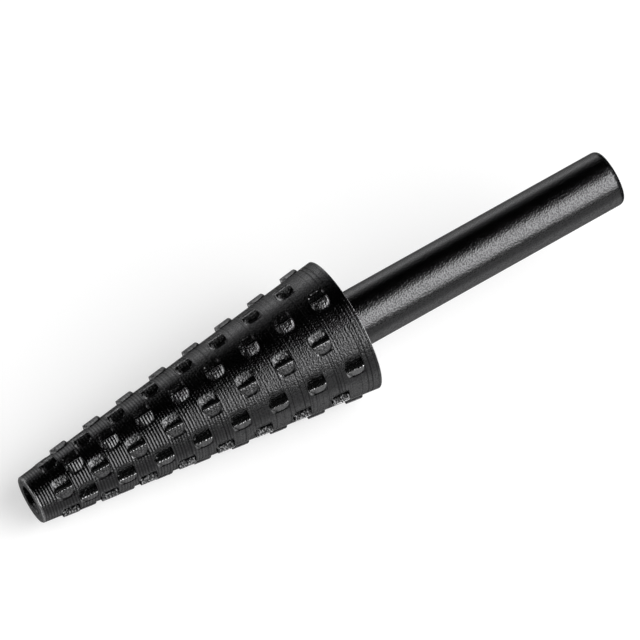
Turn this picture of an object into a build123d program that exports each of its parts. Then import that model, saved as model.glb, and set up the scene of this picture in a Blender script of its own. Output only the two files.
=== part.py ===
from build123d import *
from math import atan2, cos, pi, radians, sin, tan
import os

# Conical rotary rasp, one piece of steel: a tapered head with raised teeth, on a plain round shank.
# Sizes are in millimetres and degrees. A station is a distance along the axis from the tip face.

# Head, a cone cut off at the tip
head_length = 36.5
tip_diameter = 5.1
rear_diameter = 14.4

# Shank, held in a chuck
shank_diameter = 6.0
shank_length = 31.5
shank_chamfer = 0.35
root_chamfer = 0.4

# Lathe centre hole in the tip face
centre_mouth = 3.2
centre_angle = 60.0
pilot_diameter = 1.6
pilot_depth = 2.9
drill_point_angle = 118.0

# Tooth pattern: straight columns of teeth, every second column set back by half a pitch
column_count = 11
tooth_pitch = 4.15
tip_band = 1.9
rear_band = 1.3

# Tooth: a hollow struck into the head, and the lip of steel that it raised behind the cutting edge
tooth_length = 2.08
hollow_width = 1.31
hollow_depth = 0.3
face_lean = 29.0
tip_rise = 0.35
rear_rise = 0.43
edge_length = 1.94
lip_run = 1.05
lip_foot_rise = 0.05
lip_draft = 20.0
lip_sides = 12

# How deep a lip's root reaches into the head, and how far a cutting form stands out of the steel
lip_root = 0.4
clearance = 0.1

tip_radius = tip_diameter / 2
rear_radius = rear_diameter / 2
shank_radius = shank_diameter / 2
total_length = head_length + shank_length
head_slant = atan2(rear_radius - tip_radius, head_length)


# Radius of the plain cone at a station
def head_radius(station):
    return tip_radius + (rear_radius - tip_radius) * station / head_length


# Height of a cutting edge above the cone at a station
def tooth_rise(station):
    return tip_rise + (rear_rise - tip_rise) * station / head_length


# Stations of the tooth middles in a column
def tooth_stations(column):
    first = tip_band + tooth_length / 2 + tooth_pitch / 2 * (column % 2)
    last = head_length - rear_band - tooth_length / 2
    count = int((last - first) / tooth_pitch) + 1
    return [first + tooth_pitch * index for index in range(count)]


# The turned blank: cone, flat rear face, shank and centre hole, as one half section spun round
def turned_blank():
    mouth_radius = centre_mouth / 2
    pilot_radius = pilot_diameter / 2
    countersink_depth = (mouth_radius - pilot_radius) / tan(radians(centre_angle / 2))
    point_depth = pilot_radius / tan(radians(drill_point_angle / 2))
    outline = Polyline(
        (0, pilot_depth + point_depth),
        (pilot_radius, pilot_depth),
        (pilot_radius, countersink_depth),
        (mouth_radius, 0),
        (tip_radius, 0),
        (rear_radius, head_length),
        (shank_radius, head_length),
        (shank_radius, total_length - shank_chamfer),
        (shank_radius - shank_chamfer, total_length),
        (0, total_length),
        close=True,
    )
    section = make_face(Plane.XZ * outline)
    root = section.vertices().sort_by_distance((shank_radius, 0, head_length))[0]
    section = chamfer(root, root_chamfer)
    return revolve(section, Axis.Z)


# Frame of a tooth, at the middle of its cutting edge on the cone: X round the head towards the
# lip, Y along the cone towards the shank, Z out of the surface
def tooth_frame(column, station):
    radius = head_radius(station)
    angle = 2 * pi * column / column_count + hollow_width / 2 / radius
    edge_middle = Vector(radius * cos(angle), radius * sin(angle), station)
    around = Vector(-sin(angle), cos(angle), 0)
    outward = Vector(cos(head_slant) * cos(angle), cos(head_slant) * sin(angle), -sin(head_slant))
    return Plane(edge_middle, x_dir=around, z_dir=outward)


# A point in X and Z over the round head, at an arc length from the cutting edge and a height
def over_head(radius, arc, height):
    turn = arc / radius
    return (radius * sin(turn), height - radius * (1 - cos(turn)))


# The point that lies past the end of a line by a length
def past(start, end, length):
    run = Vector(*end) - Vector(*start)
    point = Vector(*end) + run.normalized() * length
    return (point.X, point.Y)


# A solid from an outline in X and Z, centred along Y
def slab(points, thickness):
    outline = Plane.XZ * Polyline(*points, close=True)
    return extrude(make_face(outline), thickness / 2, both=True)


# Where the cutting face lies at a height, in X
def face_place(rise, height):
    return (height - rise) * tan(radians(face_lean))


# All that lies behind the cutting face, out to a reach on every side
def behind_face(rise, reach):
    top = (face_place(rise, reach), reach)
    bottom = (face_place(rise, -reach), -reach)
    return slab([top, (reach, reach), (reach, -reach), bottom], 2 * reach)


# The raised lip: a half-round boss of many flat sides, its top sloping down from the cutting edge
# to its foot, its sides drafted, its front cut off by the cutting face
def lip(column, station):
    rise = tooth_rise(station)
    foot = over_head(head_radius(station), lip_run, lip_foot_rise)
    fall = Vector(foot[0], 0, foot[1] - rise)
    slope = Plane((0, 0, rise), x_dir=fall, z_dir=fall.cross(Vector(0, 1, 0)))
    depth = rise + lip_root
    outline = RegularPolygon(edge_length / 2, lip_sides, major_radius=False, rotation=180 / lip_sides)
    boss = extrude(Pos(fall.length - edge_length / 2) * outline, -depth)
    boss = draft(boss.faces().filter_by(Axis.Z, reverse=True), Plane.XY, -lip_draft)
    whole = slope.location * boss & behind_face(rise, 2 * (lip_run + depth))
    return tooth_frame(column, station).location * whole


# The struck hollow: its floor falls from the surface to the foot of the cutting face
def hollow(column, station):
    radius = head_radius(station)
    rise = tooth_rise(station)
    bottom = (face_place(rise, -hollow_depth), -hollow_depth)
    far_edge = past(bottom, over_head(radius, -hollow_width, 0), clearance)
    near_edge = past(bottom, (0, rise), clearance)
    form = slab([bottom, near_edge, (far_edge[0], near_edge[1]), far_edge], tooth_length)
    return tooth_frame(column, station).location * form


# An end of a cutting edge, where a tooth meets a table: side is -1 towards the tip, 1 away from it
def edge_end(column, station, side):
    end = Vector(0, side * edge_length / 2, tooth_rise(station))
    return tooth_frame(column, station).from_local_coords(end)


# The plane that the rasp lies on, with X along the tool: it touches the last column of teeth at
# both ends and the first column at the rear
def rest_plane():
    last_column = column_count - 1
    tip_end = edge_end(last_column, tooth_stations(last_column)[0], -1)
    rear_end = edge_end(last_column, tooth_stations(last_column)[-1], 1)
    other_rear_end = edge_end(0, tooth_stations(0)[-1], 1)
    up = (rear_end - tip_end).cross(other_rear_end - tip_end)
    return Plane(tip_end, x_dir=(0, 0, 1), z_dir=up)


teeth = [(column, station) for column in range(column_count) for station in tooth_stations(column)]
upright = turned_blank() + [lip(*tooth) for tooth in teeth] - [hollow(*tooth) for tooth in teeth]

# Laid down on its teeth, the tip towards -X, with the origin under the middle of its box
lying = rest_plane().to_local_coords(upright)
box = lying.bounding_box()
rotary_rasp = Pos(-box.center().X, -box.center().Y, -box.min.Z) * lying

os.makedirs("parts", exist_ok=True)
export_step(rotary_rasp, "parts/rotary_rasp.step")
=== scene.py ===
import bmesh
import bpy
import math
import numpy as np
from mathutils import Matrix


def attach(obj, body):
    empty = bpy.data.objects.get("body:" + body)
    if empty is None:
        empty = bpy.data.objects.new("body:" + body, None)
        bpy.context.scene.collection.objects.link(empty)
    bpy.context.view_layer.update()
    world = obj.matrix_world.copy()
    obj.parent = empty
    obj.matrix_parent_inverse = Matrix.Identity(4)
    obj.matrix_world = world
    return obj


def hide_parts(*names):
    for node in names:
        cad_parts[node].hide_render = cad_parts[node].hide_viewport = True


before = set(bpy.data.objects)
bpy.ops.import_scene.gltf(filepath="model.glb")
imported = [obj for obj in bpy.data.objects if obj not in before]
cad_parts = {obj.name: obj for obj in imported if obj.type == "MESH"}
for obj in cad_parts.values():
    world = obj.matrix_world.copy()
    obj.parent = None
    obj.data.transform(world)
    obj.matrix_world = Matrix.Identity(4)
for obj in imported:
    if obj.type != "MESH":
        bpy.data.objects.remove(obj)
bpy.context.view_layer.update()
print("frame loaded")

# Conical rotary rasp, lying on its teeth. Lengths are millimetres until a mesh is made.
# Upright, the tool's axis is Z with the tip face at 0: a station is a distance from that face.
head = {
    "length": 36.5,
    "tipDiameter": 5.1,
    "rearDiameter": 14.4,
    "edgeBreak": 0.09,          # small bevel round the tip face
    "rimBreak": 0.05,           # small bevel round the rear face
    "rimRings": (0.13, 0.02),   # last rings of the cone: from the rear face, and from the rim
}
shank = {
    "diameter": 6.0,
    "length": 31.5,
    "endRound": (0.45, 0.62),   # rounded end: how far in, and how far along
    "endTurns": (12, 24, 36, 48, 60, 72, 84, 90),    # degrees of its rings
    "rootRadius": 0.4,
    "firstRing": 0.4,           # from the root to the next ring
}
centreHole = {
    "mouth": 3.2,
    "mouthBreak": 0.03,
    "pilot": 1.6,
    "depth": 2.9,
    "mouthAngle": 60,
    "drillAngle": 118,
}
teeth = {
    "columns": 11,
    "bands": 16,                # half pitches along the head, even columns in one, odd in the next
    "firstBand": 1.9,           # where the first teeth begin
    "halfPitch": 2.075,
    "bandGap": 0.005,           # from a tooth's tile to the edge of its band
    "ringGap": (0.03, 0.02),    # from the toothed bands to the turned tip, and to the turned rear
    "patchStep": 0.33,          # length of the faces between two teeth
    "hollowWidth": 1.31,
    "hollowDepth": 0.3,
    "hollowHalf": 1.01,         # half the length of the hollow
    "farMargin": 0.09,          # from the hollow's far edge to the side of its tile
    "farStep": (0.14, 0.14),    # share of the depth, and of the width, that its far edge steps down
    "tipSlope": 0.4,            # how far the hollow's end slopes on the tip side
    "shankSlope": 0.22,
    "tipCorner": 0.5,           # rounding of the hollow's corners
    "shankCorner": 0.22,
    "footFillet": 0.1,          # blend between the hollow's floor and the cutting face
    "faceLean": 29,             # degrees from upright
    "dentDepth": 0.02,
    "dentStart": 0.3,           # share of the floor over which the dents come in
    "dentCount": 4,             # waves that make up the dents
    "dentWaves": (2.0, 5.0),    # radians to the millimetre
    "dentPhase": 6.28,
    "tipRise": 0.35,
    "rearRise": 0.43,
    "leastRise": 0.97,          # the smallest random share of its rise that a tooth has
    "landWidth": 0.06,          # straight part of the lip behind the edge
    "edgeWear": (0.008, 0.02),  # how much of the edge is worn off, and how far that reaches
    "fullCrest": 0.9,           # the edge is worn where it keeps more than this share of its rise
    "lipRun": 1.05,
    "lipFoot": 0.03,
    "lipTile": 1.2,             # from the cutting edge to the side of its tile
    "lipSquareness": 2.4,       # power of the lip's outline, where 2 is an ellipse
    "tipHalf": 0.99,            # from the tooth's middle to the lip's end on the tip side
    "shankHalf": 0.97,          # and on the shank side
    "crestRound": (0.09, 0.24),     # share of the cutting edge that slopes off, tip and shank
    "lipRound": (0.36, 0.3, 0.22),  # share of the lip that rounds off to the tip, foot and shank
    "meeting": (2.7, 0.55, 2.3),    # width that needs no squeeze, its plain part, its teeth's part
    "seed": 11,
}
lying = {
    "tip": (-33.7582, 0.0, 2.8715),   # middle of the tip face
    "tilt": 6.9222,                   # degrees that the axis rises towards the shank
    "turn": 10.6993,                  # degrees from straight down to the first column
}

tipRadius, rearRadius = head["tipDiameter"] / 2, head["rearDiameter"] / 2
taper = (rearRadius - tipRadius) / head["length"]
slant = math.atan(taper)
tileHalf = teeth["halfPitch"] / 2 - teeth["bandGap"]


def headRadius(station):
    return tipRadius + taper * station


# A point on the head: round by an angle, up to a station, and out by a height on the cone's normal
def onHead(angle, station, height):
    radius = headRadius(station) + height * math.cos(slant)
    along = station - height * math.sin(slant)
    return np.stack([radius * np.cos(angle), radius * np.sin(angle), along + 0 * angle], -1)


# Eased step from 0 at low to 1 at high: three times the share squared, less twice its cube
def smooth(low, high, value):
    t = np.clip((value - low) / (high - low), 0, 1)
    return t * t * (3 - 2 * t)


# Gathers grids of points and joins them into one closed skin. A point is x, y, z and three marks:
# struck, worn bright (on the lips' tip-side rims a painted highlight), and painted shade.
class Skin:
    def __init__(self):
        self.points, self.faces, self.count = [], [], 0

    def add(self, places, *marks):
        shape = places.shape[:-1]
        marks = [np.broadcast_to(mark, shape)[..., None] for mark in (*marks, 0, 0, 0)[:3]]
        block = np.concatenate([places, *marks], -1).reshape(-1, 6)
        index = self.count + np.arange(len(block)).reshape(shape)
        self.points.append(block)
        self.count += len(block)
        return index

    def join(self, index):
        corners = [index[:-1, :-1], index[1:, :-1], index[1:, 1:], index[:-1, 1:]]
        self.faces += np.stack(corners, -1).reshape(-1, 4).tolist()

    # Two rings round the axis become a strip of triangles: in the order of their angles, each point
    # makes a triangle with the one before it and with the last point passed on the other ring
    def zipUp(self, ringA, ringB):
        points = np.concatenate(self.points)
        turnA, turnB = [np.arctan2(points[ring, 1], points[ring, 0]) for ring in (ringA, ringB)]
        ringA, turnA = ringA[np.argsort(turnA)], np.sort(turnA)
        ringB, turnB = ringB[np.argsort(turnB)], np.sort(turnB)
        lastB = np.searchsorted(turnB, turnA, side="left") - 1
        lastA = np.searchsorted(turnA, turnB, side="right") - 1
        self.faces += np.stack([np.roll(ringA, 1), ringA, ringB[lastB]], -1).tolist()
        self.faces += np.stack([ringB, np.roll(ringB, 1), ringA[lastA]], -1).tolist()


# One tooth on its tile of the head, as two grids that share the line behind the cutting edge.
# across is the arc from the cutting edge, lip at plus and hollow at minus; along is the distance
# towards the shank from the tooth's middle. Shares say where the lines of each grid lie: the rings
# from the lip's middle to its rim and beyond, the floor from its far edge to the foot of the
# cutting face, and the face from there to the edge.
ringShares = np.array([0.0, 0.36, 0.6, 0.73, 0.83, 0.91, 0.96, 0.99, 1.0])
outerShares = np.array([1.1, 1.2])
floorShares = np.array([0.0, 0.035, 0.075, 0.12, 0.16, 0.28, 0.42,
                        0.57, 0.71, 0.83, 0.92, 0.97, 1.0])
faceShares = np.array([0.06, 0.14, 0.3, 0.6, 0.85, 1.0])
sectors = 4 * (len(ringShares) + 1)      # so that the lip's straight side has a grid's points

# Painted shade, wear and struck steel on a tooth, each from 0 to 1. A pair with no note says from
# where to where a mark comes in, and a pair of rows is by degrees round the lip, from the tip to
# the shank.
toothMarks = {
    "struckDepth": (0.004, 0.03),
    "struckTop": 0.01,          # the face counts as struck up to here from the edge
    "edgeEnds": (0.95, 0.93),   # share of the tooth with a worn edge, to the tip and to the shank
    "edgeWidth": 0.022,
    "footShade": (0.34, 0.22),   # reach of the painted shade from the foot of the face, and how it grows to the shank
    "footFade": (0.9, 0.15),    # shares of that reach where the painted shade begins and where it's full
    "floorBaseShade": 0.42,          # painted shade elsewhere on the floor
    "tipEnd": (-0.95, -0.65),   # along the floor from the tooth's middle
    "faceShade": 0.62,           # painted shade on the middle of the face
    "faceFoot": 0.12,           # where the painted shade is full: this near the foot, and at the ends
    "faceEnds": (0.8, 0.92),
    "faceTop": -0.04,           # painted shade on the face ends between here and the edge
    "footLine": 0.01,           # past the foot by this, the face's painted shade takes over from the floor's
    "tipward": ([-90, -50, -25], [1, 1, 0]),
    "rimShade": (0.76, 0.92),
    "topSoot": (0.42, 0.62),    # on the tip side the painted shade lies further in
    "topSootEnd": (0.96, 0.88),
    "topShare": 0.95,           # and is this strong
    "roundShade": ([-90, 10, 50, 90], [1, 1, 0.7, 0.5]),
    "topRub": 0.17,
    "topRubEnd": (0.92, 0.78),
    # painted highlight on the lip's rim at the tip side, carried by the worn mark
    "rimSheen": 0.45,
    "rimSheenStart": (0.86, 0.96),
}


def lipTop(across, rise):
    share = np.clip(across / teeth["lipRun"], 0, 1)
    return teeth["lipFoot"] + (rise - teeth["lipFoot"]) * (1 - share)


# The lip rounds off to nothing at its rim over the last part of its share: in a quarter of an
# ellipse, or where it flares out, in a curve that ends level
def rounded(share, width, flare=0.0):
    t = np.clip((share - 1 + width) / width, 0, 1)
    return (1 - flare) * np.sqrt(1 - t ** 2) + flare * (1 - t * t * (3 - 2 * t))


# Height over the hollow and the cutting face. The floor falls to the foot of the face, its ends
# slope in from a rounded outline, and the face rises from there in a straight line to the edge
def hollowHeight(across, along, rise, foot, dents):
    half, far = teeth["hollowHalf"], -teeth["hollowWidth"]
    inside = across - far

    def cornered(gap, corner):
        near = (gap < corner) & (inside < corner)
        return np.where(near, corner - np.hypot(corner - gap, corner - inside), gap)

    tipGap = cornered(along + half, teeth["tipCorner"])
    shankGap = cornered(half - along, teeth["shankCorner"])
    ends = smooth(0, teeth["tipSlope"], tipGap) * smooth(0, teeth["shankSlope"], shankGap)
    share = np.clip(inside / (foot - far), 0, 1)
    step, stepRun = teeth["farStep"]
    depth = teeth["hollowDepth"] * (step * smooth(0, stepRun, share) + (1 - step) * share)
    floor = -(depth + dents * smooth(0.0, teeth["dentStart"], share)) * ends
    face = (across - foot) / -foot * (rise + teeth["hollowDepth"]) - teeth["hollowDepth"]
    # where floor and face are nearly level with each other, the corner between them is filled
    fillet = teeth["footFillet"]
    blend = fillet / 4 * np.clip(1 - np.abs(face - floor) / fillet, 0, 1) ** 2 * ends
    reach = np.where(along < 0, teeth["tipHalf"], teeth["shankHalf"])
    width = np.where(along < 0, *teeth["crestRound"])
    crest = lipTop(across, rise) * rounded(np.abs(along) / reach, width)
    worn, wornRun = teeth["edgeWear"]
    wear = worn * np.exp(-np.abs(across) / wornRun) * (crest > teeth["fullCrest"] * rise)
    below = np.maximum(face, floor) + blend
    return np.where(across <= foot, np.minimum(below, 0), np.minimum(below, crest) - wear)


# Painted shade darkens the hollow towards the foot of the face, more so at the shank side. It lies
# thinner on the face than along the face's borders. The edge is worn bright
def hollowMarks(across, along, foot, height):
    tipEnd, shankEnd = toothMarks["edgeEnds"]
    sunk = smooth(*toothMarks["struckDepth"], -height)
    onEdge = (along > -tipEnd * teeth["tipHalf"]) & (along < shankEnd * teeth["shankHalf"])
    face = (across > foot) & (across < -toothMarks["struckTop"]) & onEdge
    reach = toothMarks["footShade"][0] + toothMarks["footShade"][1] * along / teeth["tipHalf"]
    start, full = [foot - share * reach for share in toothMarks["footFade"]]
    least = toothMarks["floorBaseShade"]
    onFloor = (least + (1 - least) * smooth(start, full, across)) * sunk
    onFloor = onFloor * smooth(*toothMarks["tipEnd"], along)
    borders = np.maximum(smooth(foot + toothMarks["faceFoot"], foot, across),
                         smooth(*toothMarks["faceEnds"], np.abs(along)))
    least = toothMarks["faceShade"]
    onFace = (least + (1 - least) * borders) * smooth(0.0, toothMarks["faceTop"], across)
    onFace = onFace * (np.abs(along) < teeth["tipHalf"])
    shaded = np.where(across < foot + toothMarks["footLine"], onFloor, onFace)
    worn = np.exp(-np.abs(across) / toothMarks["edgeWidth"]) * onEdge
    return np.maximum(sunk, face), worn, shaded


# Hollow, face and land: straight lines along the head. The dents are the mean of a few sine waves,
# each in its own random direction
def hollowGrid(skin, edgeAngle, middle, rise, floorSide, tipReach, shankReach, draw):
    land, far = teeth["landWidth"], -teeth["hollowWidth"]
    foot = -(rise + teeth["hollowDepth"]) * math.tan(math.radians(teeth["faceLean"]))
    lines = np.concatenate([[far - teeth["farMargin"]], far + (foot - far) * floorShares,
                            foot * (1 - faceShares), [land / 2, land]])
    rows = np.concatenate([-tipReach[:0:-1], shankReach])
    across, along = np.meshgrid(lines, rows, indexing="ij")
    count = teeth["dentCount"]
    waves = draw.uniform(*teeth["dentWaves"], (count, 2))
    phases = draw.uniform(0, teeth["dentPhase"], count)
    dents = sum(np.sin(wave[0] * across + wave[1] * along + phase)
                for wave, phase in zip(waves, phases)) / count
    height = hollowHeight(across, along, rise, foot, teeth["dentDepth"] * dents)
    marks = hollowMarks(across, along, foot, height)
    squeezed = np.where(across < foot, foot + (across - foot) * floorSide, across)
    station = middle + along
    grid = skin.add(onHead(edgeAngle + squeezed / headRadius(station), station, height), *marks)
    skin.join(grid)
    return grid


# Painted shade lies round the foot of the lip; its top is rubbed a little, and its rim on the tip
# side gets a painted highlight
def lipMarks(turn):
    degrees = np.degrees(turn)
    share = np.concatenate([ringShares, outerShares])[:, None]
    tipward = np.interp(degrees, *toothMarks["tipward"])
    outer = smooth(*toothMarks["rimShade"], share) * (share < outerShares[-1])
    inner = smooth(*toothMarks["topSoot"], share) * smooth(*toothMarks["topSootEnd"], share)
    ringShade = outer + (toothMarks["topShare"] * inner - outer) * tipward
    ringShade = ringShade * np.interp(degrees, *toothMarks["roundShade"])
    top = toothMarks["topRub"] * smooth(*toothMarks["topRubEnd"], share)
    rim = toothMarks["rimSheen"] * tipward * smooth(*toothMarks["rimSheenStart"], share) * (share <= 1)
    return top + rim, ringShade * np.cos(turn).clip(0) ** 0.5


# Lip: half ellipses round the middle of the land, squarer towards the rim, and from the rim out to
# the tile's three other sides
def lipFan(skin, edgeAngle, middle, rise, lipSide, tipReach, shankReach):
    land = teeth["landWidth"]
    turn = np.linspace(-math.pi / 2, math.pi / 2, sectors + 1)
    corner = sectors // 4
    steps = np.arange(sectors + 1)
    frameAcross = (lipSide - land) * np.clip(np.minimum(steps, sectors - steps) / corner, 0, 1)
    frameAlong = tileHalf * np.clip((steps - sectors / 2) / (sectors / 2 - corner), -1, 1)
    widths = (teeth["lipRun"] - land) * ringShares[:, None]
    lengths = np.where(turn < 0, tipReach[:-2, None], shankReach[:-2, None])
    power = 2 / (2 + (teeth["lipSquareness"] - 2) * ringShares[:, None] ** 2)
    ringAcross = widths * np.cos(turn).clip(0) ** power
    ringAlong = lengths * np.sign(turn) * np.abs(np.sin(turn)) ** power
    across, along = [np.concatenate([rings, [(rings[-1] + sides) / 2], [sides]])
                     for rings, sides in ((ringAcross, frameAcross), (ringAlong, frameAlong))]
    tipCrest, shankCrest = teeth["crestRound"]
    tipSide, footSide, shankSide = teeth["lipRound"]
    width = np.interp(np.degrees(turn), [-90, -74, -40, 0, 60, 90],
                      [tipCrest, tipSide, tipSide, footSide, shankSide, shankCrest])
    flare = np.interp(np.degrees(turn), [-90, -74, -40, 10], [0, 1, 1, 0])
    shape = np.concatenate([rounded(ringShares[:, None], width, flare),
                            np.zeros((len(outerShares), sectors + 1))])
    height = shape * lipTop(across + land, rise)
    station = middle + along
    around = land + across * min(lipSide, 1)
    places = onHead(edgeAngle + around / headRadius(station), station, height)
    fan = skin.add(places, 0, *lipMarks(turn))
    skin.join(fan)
    return fan


# Gives back the tile's four borders: against the next tooth on either side, and against the next
# band on either side
def toothTile(skin, edgeAngle, middle, rise, lipSide, floorSide, draw):
    reaches = [np.concatenate([half * ringShares, [(half + tileHalf) / 2, tileHalf]])
               for half in (teeth["tipHalf"], teeth["shankHalf"])]
    grid = hollowGrid(skin, edgeAngle, middle, rise, floorSide, *reaches, draw)
    fan = lipFan(skin, edgeAngle, middle, rise, lipSide, *reaches)
    corner = sectors // 4
    left, right = grid[0], fan[-1, corner:sectors - corner + 1]
    low = np.concatenate([grid[:, 0], fan[-1, 1:corner + 1]])
    high = np.concatenate([grid[:, -1], fan[-1, sectors - 1:sectors - corner - 1:-1]])
    return left, right, low, high


# How far a tooth's tile reaches behind its edge, and how much its hollow's side is squeezed. In an
# even band the first and the last column are neighbours, and near the tip they share the room
def tileSides(band, column, middle):
    enough, plain, needed = teeth["meeting"]
    reach = teeth["lipTile"]
    tight = headRadius(middle - tileHalf) * 2 * math.pi / teeth["columns"]
    if band % 2 or column not in (0, teeth["columns"] - 1) or tight >= enough:
        return reach, 1.0
    room = min(1.0, (tight - plain) / needed)
    return (reach * room, 1.0) if column else (reach, room)


# The plain cone between two teeth of a band
def plainPatch(skin, start, end, radius):
    startTurn = np.arctan2(start[:, 1], start[:, 0])
    gap = (np.arctan2(end[:, 1], end[:, 0]) - startTurn) % (2 * math.pi)
    steps = max(1, round(float(gap.mean()) * radius / teeth["patchStep"]))
    share = np.linspace(0, 1, steps + 1)[:, None]
    station = start[:, 2] + (end[:, 2] - start[:, 2]) * share
    patch = skin.add(onHead(startTurn + gap * share, station, 0.0))
    skin.join(patch)
    return patch


# The toothed part of the head, band by band. Gives back its first and last rings
def toothedHead(skin):
    draw = np.random.default_rng(teeth["seed"])
    columns = teeth["columns"]
    seams = []
    for band in range(teeth["bands"]):
        middle = teeth["firstBand"] + teeth["halfPitch"] * (band + 0.5)
        radius = headRadius(middle)
        grown = (teeth["rearRise"] - teeth["tipRise"]) * middle / head["length"]
        sides, low, high = [], [], []
        for column in range(band % 2, columns, 2):
            rise = teeth["tipRise"] + grown
            rise *= draw.uniform(teeth["leastRise"], 1.0)
            edge = 2 * math.pi * column / columns + teeth["hollowWidth"] / 2 / radius
            lipSide, floorSide = tileSides(band, column, middle)
            borders = toothTile(skin, edge, middle, rise, lipSide, floorSide, draw)
            sides.append(borders[:2])
            low.append(borders[2])
            high.append(borders[3])
        points = np.concatenate(skin.points)
        for number, (left, right) in enumerate(sides):
            nextLeft = sides[(number + 1) % len(sides)][0]
            patch = plainPatch(skin, points[right, :3], points[nextLeft, :3], radius)
            low.append(patch[1:-1, 0])
            high.append(patch[1:-1, -1])
        seams.append((np.concatenate(low), np.concatenate(high)))
    for below, above in zip(seams[:-1], seams[1:]):
        skin.zipUp(below[1], above[0])
    return seams[0][0], seams[-1][1]


# A turned form: a profile of radius and station, carried round the axis
def turned(skin, profile, marks, steps=128):
    turn = np.linspace(0, 2 * math.pi, steps, endpoint=False)
    radius, station = np.array(profile, float).T[:, :, None]
    places = np.stack([radius * np.cos(turn), radius * np.sin(turn), station + 0 * turn], -1)
    index = skin.add(places, 0, *marks(radius, station, turn))
    skin.join(np.concatenate([index, index[:, :1]], 1))
    return index


def arc(centre, radius, start, end, steps):
    turn = np.radians(np.linspace(start, end, steps))
    return [(centre[0] + radius * math.cos(t), centre[1] + radius * math.sin(t)) for t in turn]


# The tip: drilled centre hole, flat face, a small bevel and the plain cone up to the first teeth
def tipProfile():
    mouth, pilot, depth = centreHole["mouth"] / 2, centreHole["pilot"] / 2, centreHole["depth"]
    sink = (mouth - pilot) / math.tan(math.radians(centreHole["mouthAngle"] / 2))
    point = pilot / math.tan(math.radians(centreHole["drillAngle"] / 2))
    edge, bevel = head["edgeBreak"], centreHole["mouthBreak"]
    last = teeth["firstBand"] - teeth["ringGap"][0]
    hole = [(0, depth + point), (pilot * 0.5, depth + point / 2), (pilot, depth),
            (pilot, (sink + depth) / 2), (pilot, sink),
            (pilot + (mouth - pilot) * 0.5, sink / 2), (mouth, bevel)]
    face = [(mouth + bevel, 0), (mouth + (tipRadius - mouth) * 0.5, 0), (tipRadius - edge * 0.8, 0)]
    cone = [(headRadius(s), s) for s in np.linspace(edge, last, 9)]
    return hole + face + cone


# The rear: plain cone behind the last teeth, rim, flat face, root radius, shank and its end
def rearProfile():
    length, radius, root = head["length"], shank["diameter"] / 2, shank["rootRadius"]
    end, rim = length + shank["length"], head["rimBreak"]
    inward, along = shank["endRound"]
    beforeFace, beforeRim = head["rimRings"]
    first = teeth["firstBand"] + teeth["bands"] * teeth["halfPitch"] + teeth["ringGap"][1]
    stations = [*np.linspace(first, length - beforeFace, 6), length - rim - beforeRim, length - rim]
    cone = [(headRadius(s), s) for s in stations]
    face = [(r, length) for r in np.linspace(rearRadius - rim, radius + root, 6)]
    corner = arc((radius + root, length + root), root, 270, 180, 7)[1:]
    body = [(radius, s) for s in np.linspace(length + root + shank["firstRing"], end - along, 24)]
    tail = [(radius - inward * (1 - math.cos(t)), end - along * (1 - math.sin(t)))
            for t in np.radians(shank["endTurns"])]
    return cone + face + corner + body + tail + [(radius * 0.5, end), (0, end)]


# How worn and how shaded the turned parts are, each from 0 to 1. Painted shade lies in the centre
# hole, most of all at its top as the tool lies, and on the rounded end of the shank. The rim at the
# head's rear is worn bright
turnedMarks = {
    "tipFace": (0.3, 0.01),         # wear, and up to what station
    "tipRim": (0.4, 0.12, 0.09),    # the same, and how far from the rim
    "holeTop": 85,                  # degrees round to the side of the hole with the most painted shade, as the tool lies
    "holeShade": (0.15, 0.45),       # by the cosine from that side
    "rearRim": (0.7, 0.03, 0.04),   # wear, its middle behind the rim, and half its width
    "rearRimIn": 0.2,               # and how far in from the rim
    # strength of the painted shade on the shank's rounded end
    "shankEnd": 0.8,
    "shankEndRun": (0.6, 0.42),     # from the end, over what distance its painted shade comes in
}


def tipMarks(radius, station, turn):
    inside = radius < centreHole["mouth"] / 2 + 0.01
    top = np.cos(turn + math.radians(lying["turn"] - turnedMarks["holeTop"]))
    faceWear, faceEnd = turnedMarks["tipFace"]
    rimWear, rimEnd, rimRun = turnedMarks["tipRim"]
    rim = (np.abs(radius - tipRadius) < rimRun) * (station < rimEnd)
    worn = faceWear * (station < faceEnd) + rimWear * rim
    return worn + 0 * turn, inside * smooth(*turnedMarks["holeShade"], top)


def rearMarks(radius, station, turn):
    end = head["length"] + shank["length"]
    rim = head["length"] - head["rimBreak"]
    wear, middle, half = turnedMarks["rearRim"]
    outside = radius > rearRadius - turnedMarks["rearRimIn"]
    worn = wear * (np.abs(station - rim - middle) < half) * outside
    start, full = [end - run for run in turnedMarks["shankEndRun"]]
    return worn + 0 * turn, turnedMarks["shankEnd"] * smooth(start, full, station) + 0 * turn


# Directions of the lying tool: along its axis, down square to that, and to the side
def lyingAxes():
    tilt = math.radians(lying["tilt"])
    axis = np.array([math.cos(tilt), 0, math.sin(tilt)])
    down = np.array([math.sin(tilt), 0, -math.cos(tilt)])
    return axis, down, np.array([0.0, 1.0, 0.0])


# From the upright tool to the one that lies on its teeth, in metres
def layDown(points):
    axis, down, side = lyingAxes()
    turn = math.radians(lying["turn"])
    first = math.cos(turn) * down + math.sin(turn) * side
    second = -math.sin(turn) * down + math.cos(turn) * side
    return (np.array(lying["tip"]) + points @ np.stack([first, second, axis])) / 1000


meshing = {
    "weld": 1e-6,           # metres
    "sharpAngle": 34,       # degrees between two faces from which their edge stays sharp
}


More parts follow.
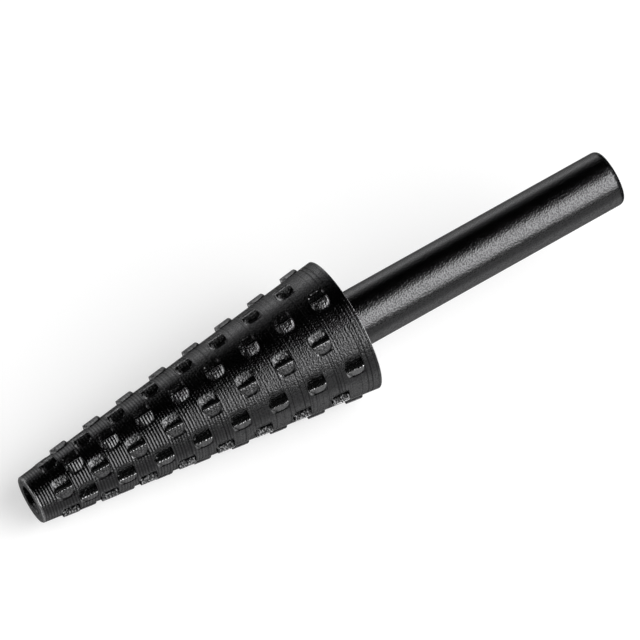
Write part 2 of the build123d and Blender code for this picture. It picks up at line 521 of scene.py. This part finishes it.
def rasp():
    skin = Skin()
    lowRing, highRing = toothedHead(skin)
    tip = turned(skin, tipProfile(), tipMarks)
    rear = turned(skin, rearProfile(), rearMarks)
    skin.zipUp(tip[-1], lowRing)
    skin.zipUp(highRing, rear[0])
    points = np.concatenate(skin.points)
    mesh = bpy.data.meshes.new("rasp")
    mesh.from_pydata(layDown(points[:, :3]).tolist(), [], skin.faces)
    for name, values in zip(("struck", "worn", "shaded"), points.T[3:]):
        mark = mesh.attributes.new(name, "FLOAT", "POINT")
        mark.data.foreach_set("value", values.astype(np.float32))
    shell = bmesh.new()
    shell.from_mesh(mesh)
    bmesh.ops.remove_doubles(shell, verts=shell.verts, dist=meshing["weld"])
    bmesh.ops.recalc_face_normals(shell, faces=shell.faces)
    shell.to_mesh(mesh)
    shell.free()
    mesh.polygons.foreach_set("use_smooth", [True] * len(mesh.polygons))
    mesh.set_sharp_from_angle(angle=math.radians(meshing["sharpAngle"]))
    made = bpy.data.objects.new("rasp", mesh)
    bpy.context.scene.collection.objects.link(made)
    return made


tool = rasp()
triangles = sum(len(face.vertices) - 2 for face in tool.data.polygons)
print("rasp made:", triangles, "triangles")


# One output socket, with sums on it: each sum adds a Math node
class Wire:
    def __init__(self, bench, socket):
        self.bench, self.socket = bench, socket

    def sum(self, operation, first, second):
        return self.bench.node("ShaderNodeMath", {"operation": operation}, {0: first, 1: second})

    def __add__(self, other):
        return self.sum("ADD", self, other)

    def __sub__(self, other):
        return self.sum("SUBTRACT", self, other)

    def __rsub__(self, other):
        return self.sum("SUBTRACT", other, self)

    def __mul__(self, other):
        return self.sum("MULTIPLY", self, other)

    __radd__, __rmul__ = __add__, __mul__


# A material's or the world's nodes, all made by one method
class Bench:
    def __init__(self, owner):
        owner.use_nodes = True
        self.tree = owner.node_tree
        self.tree.nodes.clear()

    def node(self, kind, settings=(), inputs=(), output=0):
        made = self.tree.nodes.new(kind)
        for name, value in dict(settings).items():
            setattr(made, name, value)
        for name, value in dict(inputs).items():
            if isinstance(value, Wire):
                self.tree.links.new(value.socket, made.inputs[name])
            else:
                made.inputs[name].default_value = value
        return Wire(self, made.outputs[output]) if made.outputs else None

    # Goes from start to end, eased, while a value goes from low to high
    def ramp(self, value, low, high, start=0.0, end=1.0):
        return self.node("ShaderNodeMapRange", {"interpolation_type": "SMOOTHSTEP"},
                         {0: value, 1: low, 2: high, 3: start, 4: end})


# Black-oxide steel: fine turning marks round the head, blasted grain all over, bright worn edges.
# A row with no note is a ramp: from, to, and the strengths there, if these aren't 0 and 1.
steel = {
    "colour": (0.085, 0.085, 0.0865, 1),
    "worn": (0.4, 0.4, 0.405, 1),
    "struck": (0.12, 0.12, 0.122, 1),
    # a dark colour for grain lows, groove bottoms and the painted shade on slanted surfaces
    "shaded": (0.012, 0.012, 0.0125, 1),
    # the painted shade at its darkest: in the hollows, round the lips' feet, in the centre hole and
    # on the shank's end
    "deepShade": (0.0015, 0.0015, 0.0016, 1),
    "roughness": 0.2,
    "mottle": (700, 3.0, 0.6),      # scale, detail and roughness of the noise in the gloss
    "mottleShare": 0.12,
    "markGloss": 0.06,              # struck steel is rougher by this, and worn steel smoother
    "edgeTint": 0.6,                # how bright the metal is at a grazing look
    "groovePitch": 0.31,
    "grooveDepth": 0.022,
    "grooveSoot": 0.75,             # how much darker the bottom of a groove is
    "grooveFade": (12.0, 28.0, 1.0, 0.2),       # ramp by station
    "wander": (120, 1.2),           # how the grooves waver: scale, and radians
    "drift": (0.13, 9),             # how their pitch drifts along the head: the same
    "scratchScale": 4.5,
    "scratchWaver": (60, 0.3),      # scale, and millimetres
    "scratchDepth": 0.01,
    "scratchShape": (0.5, 0.72),
    "scratchFade": (4.0, 30.0, 0.25, 1.0),      # ramp by station
    "grainScale": 6200,
    "grainDepth": 0.032,
    "grainSoot": (0.3, 0.62, 0.5, 0.0),
    "grainFade": (5.0, 28.0, 0.75, 0.95),       # ramp by station
    "grainEnd": 0.1,                # run over which the grain falls to the shank's share of it
    "shankGrain": 0.8,
    "marksEnd": 0.02,               # half the run over which the marks end at the head's rear
    "coarseScale": 5000,
    "coarseDepth": 0.04,
    "specks": (0.5, 0.64, 0.0, -0.36),
    "deepShadeRamp": (0.0, 0.85),
    "thickShade": (0.5, 0.95, 0.0, 0.95),
    "glint": (0.3, 0.7, 0.4, 1.0),
    "rearGlint": (26.0, 34.0, 0.0, 0.5),        # ramp by station
    # ramps by how far the surface turns from the look, 0 when faced and 1 when grazed
    "slantIn": (0.1, 0.2),
    "slantOut": (0.28, 0.46, 1.0, 0.0),
    "slantShade": 0.6,
    # the metal gives way to a matt layer at a grazing look, as painted shade
    "grazingShadeIn": (0.5, 0.78, 0.0, 0.9),
    "grazingShadeOut": (0.82, 0.98, 1.0, 0.6),
}


def blackenedSteel():
    material = bpy.data.materials.new("blackenedSteel")
    bench = Bench(material)
    node, ramp = bench.node, bench.ramp
    place = node("ShaderNodeTexCoord", output="Object")
    moved = node("ShaderNodeVectorMath", {"operation": "SUBTRACT"},
                 {0: place, 1: [value / 1000 for value in lying["tip"]]})
    station = node("ShaderNodeVectorMath", {"operation": "DOT_PRODUCT"},
                   {0: moved, 1: lyingAxes()[0].tolist()}, "Value") * 1000
    struck, worn, shaded = [node("ShaderNodeAttribute", {"attribute_name": name}, output="Fac")
                           for name in ("struck", "worn", "shaded")]

    def noise(scale, detail=2.0, rough=0.5):
        inputs = {"Vector": place, "Scale": scale, "Detail": detail, "Roughness": rough}
        return node("ShaderNodeTexNoise", {}, inputs, "Fac")

    # noise that changes along one value only
    def lineNoise(value, scale, detail, rough=0.5):
        inputs = {"W": value, "Scale": scale, "Detail": detail, "Roughness": rough}
        return node("ShaderNodeTexNoise", {"noise_dimensions": "1D"}, inputs, "Fac")

    def blend(factor, first, second):
        inputs = {"Factor": factor, 6: first, 7: second}
        return node("ShaderNodeMix", {"data_type": "RGBA"}, inputs, 2)

    # turning marks: a regular feed near the tip, scratches nearer the rear, none when struck
    rear, soft = head["length"], steel["marksEnd"]
    marked = ramp(station, rear - soft, rear + soft, 1.0, 0.0) * (1 - struck)
    drift = lineNoise(station, steel["drift"][0], 1.0)
    wander = noise(steel["wander"][0], 1.0) * steel["wander"][1] + drift * steel["drift"][1]
    valley = 0.5 - 0.5 * node("ShaderNodeMath", {"operation": "SINE"},
                              {0: station * (2 * math.pi / steel["groovePitch"]) + wander})
    grooves = valley * (ramp(station, *steel["grooveFade"]) * marked)
    waver = noise(steel["scratchWaver"][0], 0.0) * steel["scratchWaver"][1]
    scratches = ramp(lineNoise(station + waver, steel["scratchScale"], 2.0, 0.6),
                     *steel["scratchShape"])
    scratches = scratches * ramp(station, *steel["scratchFade"]) * marked
    grain = noise(steel["grainScale"], 0.0)
    coarse = noise(steel["coarseScale"], 0.0)
    grainy = ramp(station, *steel["grainFade"])
    grainy = grainy * ramp(station, rear, rear + steel["grainEnd"], 1.0, steel["shankGrain"])
    height = (grain * grainy * steel["grainDepth"] + coarse * struck * steel["coarseDepth"]
              - grooves * steel["grooveDepth"] - scratches * steel["scratchDepth"])
    bump = node("ShaderNodeBump", {}, {"Strength": 1.0, "Distance": 0.001, "Height": height})

    shade = blend(struck, steel["colour"], steel["struck"])
    shade = blend(ramp(grain, *steel["grainSoot"]) * grainy, shade, steel["shaded"])
    shade = blend((grooves + scratches) * steel["grooveSoot"], shade, steel["shaded"])
    # painted shade, broken up in lighter specks where it is thin
    shadeLevel = shaded + ramp(coarse, *steel["specks"])
    shade = blend(ramp(shadeLevel, *steel["deepShadeRamp"]), shade, steel["deepShade"])
    # painted shade on surfaces seen at a slant, for a darker reflection there
    facing = node("ShaderNodeLayerWeight", {}, {"Blend": 0.5}, "Facing")
    slantShading = ramp(facing, *steel["slantIn"]) * ramp(facing, *steel["slantOut"])
    shade = blend(slantShading * steel["slantShade"], shade, steel["shaded"])
    glint = ramp(coarse, *steel["glint"]) + ramp(station, *steel["rearGlint"])
    shade = blend(worn * glint, shade, steel["worn"])

    mottle = noise(*steel["mottle"])
    roughness = (steel["roughness"] + (mottle - 0.5) * steel["mottleShare"]
                 + struck * steel["markGloss"] - worn * steel["markGloss"])
    tint = (steel["edgeTint"],) * 3 + (1,)
    metal = node("ShaderNodeBsdfPrincipled", {},
                 {"Base Color": shade, "Metallic": 1.0, "Specular Tint": tint,
                  "Roughness": roughness, "Normal": bump})
    mattShade = node("ShaderNodeBsdfPrincipled", {},
                 {"Base Color": shade, "Metallic": 0.0, "Roughness": 1.0,
                  "Specular IOR Level": 0.0, "Normal": bump})
    # a matt layer takes the metal's place at a grazing look, as painted shade for a darker edge
    # reflection, and under thick painted shade
    grazing = ramp(facing, *steel["grazingShadeIn"]) * ramp(facing, *steel["grazingShadeOut"])
    thick = ramp(shadeLevel, *steel["thickShade"])
    cover = node("ShaderNodeMath", {"operation": "MAXIMUM"}, {0: grazing, 1: thick})
    surface = node("ShaderNodeMixShader", {}, {0: cover, 1: metal, 2: mattShade})
    node("ShaderNodeOutputMaterial", {}, {"Surface": surface})
    return material


tool.data.materials.append(blackenedSteel())
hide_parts("rotary_rasp")
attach(tool, "root")
print("finish made")

# Studio: a pale floor, one large soft light in front, a pale surround and a dark ceiling. Angles
# are degrees above the floor, or round from the camera's side, over which a light fades in or out
studio = {
    "floorSize": 40.0,
    "floorShade": 0.46,
    "floorGlow": 0.58,          # seen by the camera and in reflections only, lighting nothing
    "front": 5.0,               # brightness of the large soft light on the camera's side
    "frontLow": (2, 27),
    "frontHigh": (54, 78),
    "frontLeft": (-27, 27),
    "frontRight": (75, 100),
    "back": 1.8,                # the pale surround behind and at the tip's side
    "backHigh": (2, 48),
    "backTowards": (0.44, 0.9),     # its middle: how far to the tip's side, and how far behind
    "backFade": (0.3, 0.85),        # how near to that it fades in
    "around": 0.1,              # and elsewhere at that height
}


def floorPlane():
    size = studio["floorSize"] / 2
    corners = [(-size, -size, 0), (size, -size, 0), (size, size, 0), (-size, size, 0)]
    mesh = bpy.data.meshes.new("floor")
    mesh.from_pydata(corners, [], [(0, 1, 2, 3)])
    floor = bpy.data.objects.new("floor", mesh)
    bpy.context.scene.collection.objects.link(floor)
    material = bpy.data.materials.new("paleFloor")
    node = Bench(material).node
    matt = node("ShaderNodeBsdfDiffuse", {}, {"Color": (studio["floorShade"],) * 3 + (1,)})
    rays = [node("ShaderNodeLightPath", output=name)
            for name in ("Is Camera Ray", "Is Glossy Ray", "Is Transmission Ray")]
    strength = (rays[0] + rays[1] + rays[2]) * studio["floorGlow"]
    glow = node("ShaderNodeEmission", {}, {"Color": (1, 1, 1, 1), "Strength": strength})
    both = node("ShaderNodeAddShader", {}, {0: matt, 1: glow})
    node("ShaderNodeOutputMaterial", {}, {"Surface": both})
    mesh.materials.append(material)


def surround():
    world = bpy.data.worlds.new("studio")
    bpy.context.scene.world = world
    bench = Bench(world)
    node, ramp = bench.node, bench.ramp
    direction = node("ShaderNodeTexCoord", output="Generated")
    x, y, z = [node("ShaderNodeSeparateXYZ", {}, {0: direction}, name) for name in "XYZ"]
    rise = node("ShaderNodeMath", {"operation": "ARCSINE"}, {0: z}) * (180 / math.pi)
    swing = node("ShaderNodeMath", {"operation": "ARCTAN2"}, {0: x, 1: 0 - y}) * (180 / math.pi)
    front = ramp(rise, *studio["frontLow"]) * (1 - ramp(rise, *studio["frontHigh"]))
    front = front * ramp(swing, *studio["frontLeft"]) * (1 - ramp(swing, *studio["frontRight"]))
    tipward, behind = studio["backTowards"]
    back = ramp(y * behind - x * tipward, *studio["backFade"]) * studio["back"] + studio["around"]
    back = (1 - ramp(rise, *studio["backHigh"])) * back
    camera = node("ShaderNodeLightPath", output="Is Camera Ray")
    strength = (front * studio["front"] + back) * (1 - camera) + camera
    light = node("ShaderNodeBackground", {}, {"Color": (1, 1, 1, 1), "Strength": strength})
    node("ShaderNodeOutputWorld", {}, {"Surface": light})


floorPlane()
surround()

# Camera, fitted to the photograph: far away with a long lens, above the tool, a little to its tip
view = {
    "distance": 850.0,           # to the middle of the head's rear face
    "lens": 478.5,
    "clip": (0.05, 100),         # metres
    "target": (2.476, 0.0, 7.271),
    "offset": (2.4225, 0.5168),  # where that point lies right of and below the picture's middle
    "slope": -29.19,             # degrees of the axis in the picture
    "lean": 12.96,               # degrees that the shank points away from the camera
    "down": 151.937,             # degrees round the axis from the camera's side to straight down
}


# The tool's axis, the side of it that faces the camera and the direction across both are known in
# the picture and in the scene. The turn that takes one set to the other is the camera's
def photographCamera():
    slope, lean, turnDown = [math.radians(view[name]) for name in ("slope", "lean", "down")]
    axis, down, side = lyingAxes()
    facing = math.cos(turnDown) * down - math.sin(turnDown) * side
    across = math.sin(turnDown) * down + math.cos(turnDown) * side
    seenAxis = np.array([math.cos(slope) * math.cos(lean), math.sin(slope) * math.cos(lean),
                         math.sin(lean)])
    seenFacing = (math.sin(lean) * seenAxis - np.array([0, 0, 1.0])) / math.cos(lean)
    seenAcross = np.cross(seenAxis, seenFacing)
    turn = np.stack([facing, across, axis], 1) @ np.stack([seenFacing, seenAcross, seenAxis])
    place = np.array(view["target"]) - turn @ np.array([*view["offset"], view["distance"]])
    camera = bpy.data.cameras.new("camera")
    camera.lens = view["lens"]
    camera.clip_start, camera.clip_end = view["clip"]
    made = bpy.data.objects.new("camera", camera)
    bpy.context.scene.collection.objects.link(made)
    made.matrix_world = Matrix.Translation((place / 1000).tolist()) @ Matrix(
        (turn @ np.diag([1, -1, -1])).tolist()).to_4x4()
    bpy.context.scene.camera = made


photographCamera()
bpy.context.scene.view_settings.view_transform = "Standard"
print("studio made")
